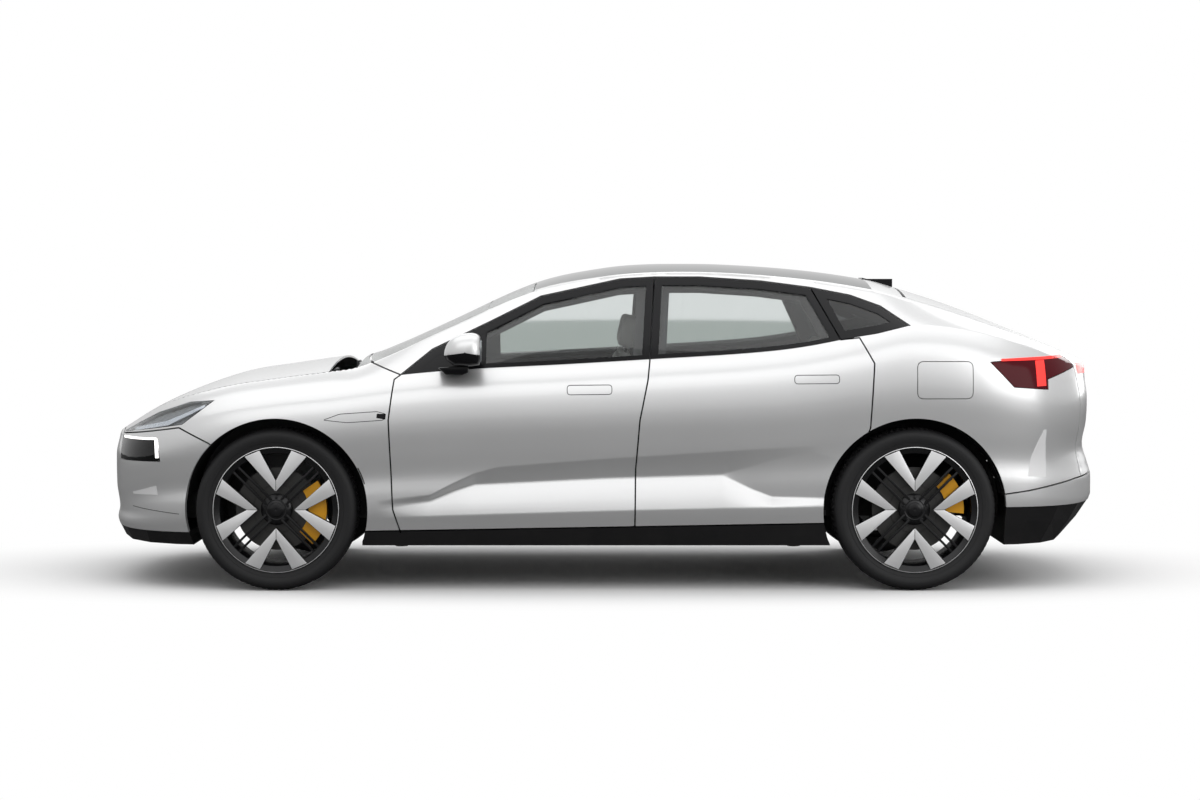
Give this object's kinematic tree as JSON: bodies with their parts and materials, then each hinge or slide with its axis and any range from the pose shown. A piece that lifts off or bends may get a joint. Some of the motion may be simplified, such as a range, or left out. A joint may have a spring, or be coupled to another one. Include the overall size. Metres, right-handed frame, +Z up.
{
  "type": "coupe sport utility vehicle",
  "caption": "Five-door coupe sport utility vehicle with hollow cabin, opening doors, bonnet, tailgate and charge flap, steered front wheels and free-rolling wheels.",
  "frame": {"origin": "on the road plane below the middle of the overall length and width", "axes": "+X from nose to tail, +Y to the right-hand side, +Z up"},
  "size_m": [4.84, 2.2184, 1.5408],
  "materials": {
    "body_paint": "satin silver paint",
    "black_trim": "grained black",
    "tinted_glass": "dark tinted, clear",
    "lamp_clear": "clear lens over dark housing",
    "lamp_red": "red lens",
    "seat_cover": "woven upholstery",
    "cabin_trim": "soft dark trim",
    "tyre": "black rubber",
    "wheel_alloy": "machined faces over black",
    "brake_iron": "turned iron",
    "caliper_paint": "gloss gold",
    "drive_casing": "cast casing",
    "dark_structure": "dark primer"
  },
  "bodies": {
    "car": {"underbody": "dark_structure", "body_cage": "dark_structure", "body_frame": "body_paint", "front_fenders": "body_paint", "front_bumper": "body_paint", "rear_bumper": "body_paint", "lower_cladding": "black_trim", "wheel_liners": "black_trim", "cowl": "black_trim", "bay_cover": "black_trim", "windscreen": "tinted_glass", "roof_glass": "tinted_glass", "quarter_windows": "tinted_glass", "headlamps": "lamp_clear", "tail_lamps": "lamp_red", "roof_pod": "black_trim", "battery_pack": "drive_casing", "drive_units": "drive_casing", "dashboard": "cabin_trim", "front_seats": "seat_cover", "rear_bench": "seat_cover", "steering_wheel": "cabin_trim", "suspension": "dark_structure", "rear_calipers": "caliper_paint", "hinge_pins": "dark_structure", "jacking_pads": "black_trim", "charge_socket": "black_trim"},
    "bonnet": {"bonnet": "body_paint"},
    "tailgate": {"tailgate": "body_paint", "light_bar": "lamp_red"},
    "charge_flap": {"charge_flap": "body_paint"},
    "door_front_left": {"door_front_left": "body_paint", "window_front_left": "tinted_glass", "mirror_left": "body_paint"},
    "door_front_right": {"door_front_right": "body_paint", "window_front_right": "tinted_glass", "mirror_right": "body_paint"},
    "door_rear_left": {"door_rear_left": "body_paint", "window_rear_left": "tinted_glass"},
    "door_rear_right": {"door_rear_right": "body_paint", "window_rear_right": "tinted_glass"},
    "steer_left": {"knuckle_left": "dark_structure", "caliper_left": "caliper_paint"},
    "steer_right": {"knuckle_right": "dark_structure", "caliper_right": "caliper_paint"},
    "wheel_front_left": {"tyre_front_left": "tyre", "rim_front_left": "wheel_alloy", "disc_front_left": "brake_iron"},
    "wheel_front_right": {"tyre_front_right": "tyre", "rim_front_right": "wheel_alloy", "disc_front_right": "brake_iron"},
    "wheel_rear_left": {"tyre_rear_left": "tyre", "rim_rear_left": "wheel_alloy", "disc_rear_left": "brake_iron"},
    "wheel_rear_right": {"tyre_rear_right": "tyre", "rim_rear_right": "wheel_alloy", "disc_rear_right": "brake_iron"}
  },
  "joints": [
    {"name": "steer_left", "type": "hinge", "parent": "car", "child": "steer_left", "pos_m": [-1.54, -0.825, 0.382], "axis": [0, 0, 1], "range_deg": [-35, 35]},
    {"name": "steer_right", "type": "hinge", "parent": "car", "child": "steer_right", "pos_m": [-1.54, 0.825, 0.382], "axis": [0, 0, 1], "range_deg": [-35, 35]},
    {"name": "roll_front_left", "type": "hinge", "parent": "steer_left", "child": "wheel_front_left", "pos_m": [-1.54, -0.84, 0.382], "axis": [0, 1, 0], "continuous": true},
    {"name": "roll_front_right", "type": "hinge", "parent": "steer_right", "child": "wheel_front_right", "pos_m": [-1.54, 0.84, 0.382], "axis": [0, 1, 0], "continuous": true},
    {"name": "roll_rear_left", "type": "hinge", "parent": "car", "child": "wheel_rear_left", "pos_m": [1.46, -0.84, 0.382], "axis": [0, 1, 0], "continuous": true},
    {"name": "roll_rear_right", "type": "hinge", "parent": "car", "child": "wheel_rear_right", "pos_m": [1.46, 0.84, 0.382], "axis": [0, 1, 0], "continuous": true},
    {"name": "door_front_left_swing", "type": "hinge", "parent": "car", "child": "door_front_left", "pos_m": [-0.895, -0.962, 0.65], "axis": [0, 0, -1], "range_deg": [0, 65]},
    {"name": "door_front_right_swing", "type": "hinge", "parent": "car", "child": "door_front_right", "pos_m": [-0.895, 0.962, 0.65], "axis": [0, 0, 1], "range_deg": [0, 65]},
    {"name": "door_rear_left_swing", "type": "hinge", "parent": "car", "child": "door_rear_left", "pos_m": [0.275, -0.962, 0.65], "axis": [0, 0, -1], "range_deg": [0, 65]},
    {"name": "door_rear_right_swing", "type": "hinge", "parent": "car", "child": "door_rear_right", "pos_m": [0.275, 0.962, 0.65], "axis": [0, 0, 1], "range_deg": [0, 65]},
    {"name": "bonnet_lift", "type": "hinge", "parent": "car", "child": "bonnet", "pos_m": [-1.29, 0, 1.03], "axis": [0, 1, 0], "range_deg": [0, 48]},
    {"name": "tailgate_lift", "type": "hinge", "parent": "car", "child": "tailgate", "pos_m": [1.47, 0, 1.392], "axis": [0, -1, 0], "range_deg": [0, 75]},
    {"name": "charge_flap_swing", "type": "hinge", "parent": "car", "child": "charge_flap", "pos_m": [1.4715, -1.0005, 0.99], "axis": [0, 0, -1], "range_deg": [0, 80]}
  ],
  "couplings": [
    {"joint": "steer_right", "follows": "steer_left", "ratio": 1}
  ]
}
